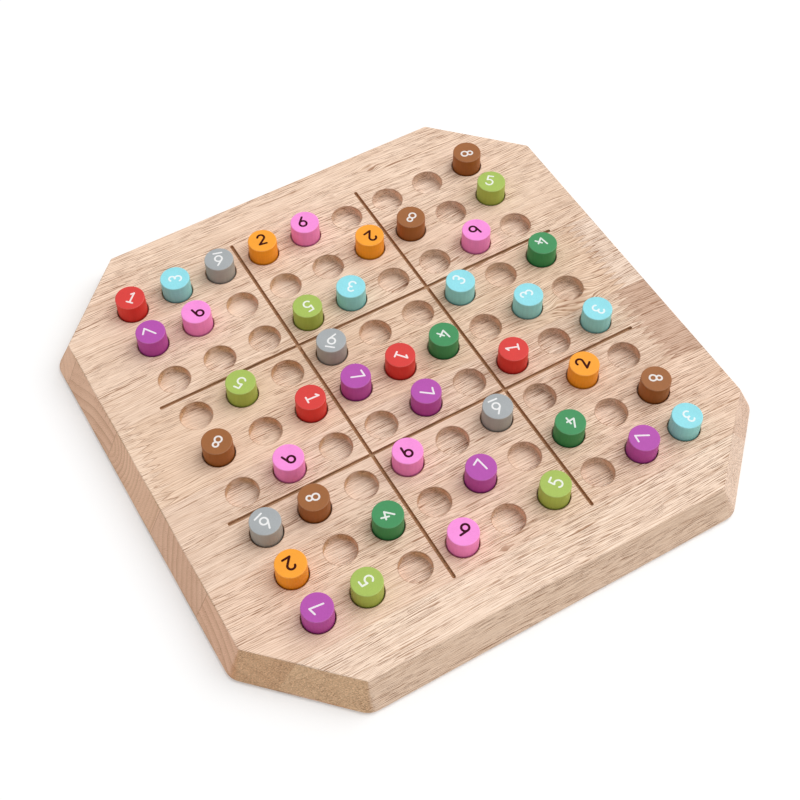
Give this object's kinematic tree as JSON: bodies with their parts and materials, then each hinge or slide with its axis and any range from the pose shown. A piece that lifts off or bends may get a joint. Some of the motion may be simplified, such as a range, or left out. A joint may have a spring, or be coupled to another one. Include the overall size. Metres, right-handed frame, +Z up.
{
  "type": "wooden sudoku board",
  "caption": "Octagonal wooden board with sloping sides and a grid of blind holes that hold loose painted number pegs, for playing sudoku.",
  "frame": {"origin": "middle of the board's underside", "axes": "+Z up out of the top face, +X along the wood's grain and the rows of holes, +Y towards the first row"},
  "size_m": [0.291, 0.291, 0.0284],
  "materials": {
    "wood_pale": "thin clear lacquer",
    "wood_mid": "thin clear lacquer",
    "wood_dark": "thin clear lacquer",
    "print_white": "printed ink",
    "print_black": "printed ink",
    "paint_red": "painted, satin",
    "paint_orange": "painted, satin",
    "paint_light_blue": "painted, satin",
    "paint_dark_green": "painted, satin",
    "paint_light_green": "painted, satin",
    "paint_grey": "painted, satin",
    "paint_purple": "painted, satin",
    "paint_brown": "painted, satin",
    "paint_pink": "painted, satin"
  },
  "bodies": {
    "board": {"stave_1": "wood_mid", "stave_2": "wood_pale", "stave_3_left_end": "wood_pale", "stave_3": "wood_mid", "stave_3_right_end": "wood_pale", "stave_4": "wood_pale", "stave_4_right_end": "wood_dark", "stave_5": "wood_pale", "stave_6": "wood_mid"},
    "peg_r1c1_no1": {"peg_r1c1_no1": "paint_red"},
    "peg_r1c2_no3": {"peg_r1c2_no3": "paint_light_blue"},
    "peg_r1c3_no6": {"peg_r1c3_no6": "paint_grey"},
    "peg_r1c4_no2": {"peg_r1c4_no2": "paint_orange"},
    "peg_r1c5_no9": {"peg_r1c5_no9": "paint_pink"},
    "peg_r1c9_no8": {"peg_r1c9_no8": "paint_brown"},
    "peg_r2c1_no7": {"peg_r2c1_no7": "paint_purple"},
    "peg_r2c2_no9": {"peg_r2c2_no9": "paint_pink"},
    "peg_r2c6_no2": {"peg_r2c6_no2": "paint_orange"},
    "peg_r2c7_no8": {"peg_r2c7_no8": "paint_brown"},
    "peg_r2c9_no5": {"peg_r2c9_no5": "paint_light_green"},
    "peg_r3c4_no5": {"peg_r3c4_no5": "paint_light_green"},
    "peg_r3c5_no3": {"peg_r3c5_no3": "paint_light_blue"},
    "peg_r3c8_no9": {"peg_r3c8_no9": "paint_pink"},
    "peg_r4c2_no5": {"peg_r4c2_no5": "paint_light_green"},
    "peg_r4c4_no6": {"peg_r4c4_no6": "paint_grey"},
    "peg_r4c7_no3": {"peg_r4c7_no3": "paint_light_blue"},
    "peg_r4c9_no4": {"peg_r4c9_no4": "paint_dark_green"},
    "peg_r5c1_no8": {"peg_r5c1_no8": "paint_brown"},
    "peg_r5c3_no1": {"peg_r5c3_no1": "paint_red"},
    "peg_r5c4_no7": {"peg_r5c4_no7": "paint_purple"},
    "peg_r5c5_no1": {"peg_r5c5_no1": "paint_red"},
    "peg_r5c6_no4": {"peg_r5c6_no4": "paint_dark_green"},
    "peg_r5c8_no3": {"peg_r5c8_no3": "paint_light_blue"},
    "peg_r6c2_no9": {"peg_r6c2_no9": "paint_pink"},
    "peg_r6c5_no7": {"peg_r6c5_no7": "paint_purple"},
    "peg_r6c7_no1": {"peg_r6c7_no1": "paint_red"},
    "peg_r6c9_no3": {"peg_r6c9_no3": "paint_light_blue"},
    "peg_r7c1_no6": {"peg_r7c1_no6": "paint_grey"},
    "peg_r7c2_no8": {"peg_r7c2_no8": "paint_brown"},
    "peg_r7c4_no9": {"peg_r7c4_no9": "paint_pink"},
    "peg_r7c6_no6": {"peg_r7c6_no6": "paint_grey"},
    "peg_r7c8_no2": {"peg_r7c8_no2": "paint_orange"},
    "peg_r8c1_no2": {"peg_r8c1_no2": "paint_orange"},
    "peg_r8c3_no4": {"peg_r8c3_no4": "paint_dark_green"},
    "peg_r8c5_no7": {"peg_r8c5_no7": "paint_purple"},
    "peg_r8c7_no4": {"peg_r8c7_no4": "paint_dark_green"},
    "peg_r8c9_no8": {"peg_r8c9_no8": "paint_brown"},
    "peg_r9c1_no7": {"peg_r9c1_no7": "paint_purple"},
    "peg_r9c2_no5": {"peg_r9c2_no5": "paint_light_green"},
    "peg_r9c4_no9": {"peg_r9c4_no9": "paint_pink"},
    "peg_r9c6_no5": {"peg_r9c6_no5": "paint_light_green"},
    "peg_r9c8_no7": {"peg_r9c8_no7": "paint_purple"},
    "peg_r9c9_no3": {"peg_r9c9_no3": "paint_light_blue"}
  },
  "joints": [
    {"name": "lift_r1c1", "type": "slide", "parent": "board", "child": "peg_r1c1_no1", "axis": [0, 0, 1], "range_m": [0, 0.02]},
    {"name": "lift_r1c2", "type": "slide", "parent": "board", "child": "peg_r1c2_no3", "axis": [0, 0, 1], "range_m": [0, 0.02]},
    {"name": "lift_r1c3", "type": "slide", "parent": "board", "child": "peg_r1c3_no6", "axis": [0, 0, 1], "range_m": [0, 0.02]},
    {"name": "lift_r1c4", "type": "slide", "parent": "board", "child": "peg_r1c4_no2", "axis": [0, 0, 1], "range_m": [0, 0.02]},
    {"name": "lift_r1c5", "type": "slide", "parent": "board", "child": "peg_r1c5_no9", "axis": [0, 0, 1], "range_m": [0, 0.02]},
    {"name": "lift_r1c9", "type": "slide", "parent": "board", "child": "peg_r1c9_no8", "axis": [0, 0, 1], "range_m": [0, 0.02]},
    {"name": "lift_r2c1", "type": "slide", "parent": "board", "child": "peg_r2c1_no7", "axis": [0, 0, 1], "range_m": [0, 0.02]},
    {"name": "lift_r2c2", "type": "slide", "parent": "board", "child": "peg_r2c2_no9", "axis": [0, 0, 1], "range_m": [0, 0.02]},
    {"name": "lift_r2c6", "type": "slide", "parent": "board", "child": "peg_r2c6_no2", "axis": [0, 0, 1], "range_m": [0, 0.02]},
    {"name": "lift_r2c7", "type": "slide", "parent": "board", "child": "peg_r2c7_no8", "axis": [0, 0, 1], "range_m": [0, 0.02]},
    {"name": "lift_r2c9", "type": "slide", "parent": "board", "child": "peg_r2c9_no5", "axis": [0, 0, 1], "range_m": [0, 0.02]},
    {"name": "lift_r3c4", "type": "slide", "parent": "board", "child": "peg_r3c4_no5", "axis": [0, 0, 1], "range_m": [0, 0.02]},
    {"name": "lift_r3c5", "type": "slide", "parent": "board", "child": "peg_r3c5_no3", "axis": [0, 0, 1], "range_m": [0, 0.02]},
    {"name": "lift_r3c8", "type": "slide", "parent": "board", "child": "peg_r3c8_no9", "axis": [0, 0, 1], "range_m": [0, 0.02]},
    {"name": "lift_r4c2", "type": "slide", "parent": "board", "child": "peg_r4c2_no5", "axis": [0, 0, 1], "range_m": [0, 0.02]},
    {"name": "lift_r4c4", "type": "slide", "parent": "board", "child": "peg_r4c4_no6", "axis": [0, 0, 1], "range_m": [0, 0.02]},
    {"name": "lift_r4c7", "type": "slide", "parent": "board", "child": "peg_r4c7_no3", "axis": [0, 0, 1], "range_m": [0, 0.02]},
    {"name": "lift_r4c9", "type": "slide", "parent": "board", "child": "peg_r4c9_no4", "axis": [0, 0, 1], "range_m": [0, 0.02]},
    {"name": "lift_r5c1", "type": "slide", "parent": "board", "child": "peg_r5c1_no8", "axis": [0, 0, 1], "range_m": [0, 0.02]},
    {"name": "lift_r5c3", "type": "slide", "parent": "board", "child": "peg_r5c3_no1", "axis": [0, 0, 1], "range_m": [0, 0.02]},
    {"name": "lift_r5c4", "type": "slide", "parent": "board", "child": "peg_r5c4_no7", "axis": [0, 0, 1], "range_m": [0, 0.02]},
    {"name": "lift_r5c5", "type": "slide", "parent": "board", "child": "peg_r5c5_no1", "axis": [0, 0, 1], "range_m": [0, 0.02]},
    {"name": "lift_r5c6", "type": "slide", "parent": "board", "child": "peg_r5c6_no4", "axis": [0, 0, 1], "range_m": [0, 0.02]},
    {"name": "lift_r5c8", "type": "slide", "parent": "board", "child": "peg_r5c8_no3", "axis": [0, 0, 1], "range_m": [0, 0.02]},
    {"name": "lift_r6c2", "type": "slide", "parent": "board", "child": "peg_r6c2_no9", "axis": [0, 0, 1], "range_m": [0, 0.02]},
    {"name": "lift_r6c5", "type": "slide", "parent": "board", "child": "peg_r6c5_no7", "axis": [0, 0, 1], "range_m": [0, 0.02]},
    {"name": "lift_r6c7", "type": "slide", "parent": "board", "child": "peg_r6c7_no1", "axis": [0, 0, 1], "range_m": [0, 0.02]},
    {"name": "lift_r6c9", "type": "slide", "parent": "board", "child": "peg_r6c9_no3", "axis": [0, 0, 1], "range_m": [0, 0.02]},
    {"name": "lift_r7c1", "type": "slide", "parent": "board", "child": "peg_r7c1_no6", "axis": [0, 0, 1], "range_m": [0, 0.02]},
    {"name": "lift_r7c2", "type": "slide", "parent": "board", "child": "peg_r7c2_no8", "axis": [0, 0, 1], "range_m": [0, 0.02]},
    {"name": "lift_r7c4", "type": "slide", "parent": "board", "child": "peg_r7c4_no9", "axis": [0, 0, 1], "range_m": [0, 0.02]},
    {"name": "lift_r7c6", "type": "slide", "parent": "board", "child": "peg_r7c6_no6", "axis": [0, 0, 1], "range_m": [0, 0.02]},
    {"name": "lift_r7c8", "type": "slide", "parent": "board", "child": "peg_r7c8_no2", "axis": [0, 0, 1], "range_m": [0, 0.02]},
    {"name": "lift_r8c1", "type": "slide", "parent": "board", "child": "peg_r8c1_no2", "axis": [0, 0, 1], "range_m": [0, 0.02]},
    {"name": "lift_r8c3", "type": "slide", "parent": "board", "child": "peg_r8c3_no4", "axis": [0, 0, 1], "range_m": [0, 0.02]},
    {"name": "lift_r8c5", "type": "slide", "parent": "board", "child": "peg_r8c5_no7", "axis": [0, 0, 1], "range_m": [0, 0.02]},
    {"name": "lift_r8c7", "type": "slide", "parent": "board", "child": "peg_r8c7_no4", "axis": [0, 0, 1], "range_m": [0, 0.02]},
    {"name": "lift_r8c9", "type": "slide", "parent": "board", "child": "peg_r8c9_no8", "axis": [0, 0, 1], "range_m": [0, 0.02]},
    {"name": "lift_r9c1", "type": "slide", "parent": "board", "child": "peg_r9c1_no7", "axis": [0, 0, 1], "range_m": [0, 0.02]},
    {"name": "lift_r9c2", "type": "slide", "parent": "board", "child": "peg_r9c2_no5", "axis": [0, 0, 1], "range_m": [0, 0.02]},
    {"name": "lift_r9c4", "type": "slide", "parent": "board", "child": "peg_r9c4_no9", "axis": [0, 0, 1], "range_m": [0, 0.02]},
    {"name": "lift_r9c6", "type": "slide", "parent": "board", "child": "peg_r9c6_no5", "axis": [0, 0, 1], "range_m": [0, 0.02]},
    {"name": "lift_r9c8", "type": "slide", "parent": "board", "child": "peg_r9c8_no7", "axis": [0, 0, 1], "range_m": [0, 0.02]},
    {"name": "lift_r9c9", "type": "slide", "parent": "board", "child": "peg_r9c9_no3", "axis": [0, 0, 1], "range_m": [0, 0.02]}
  ]
}
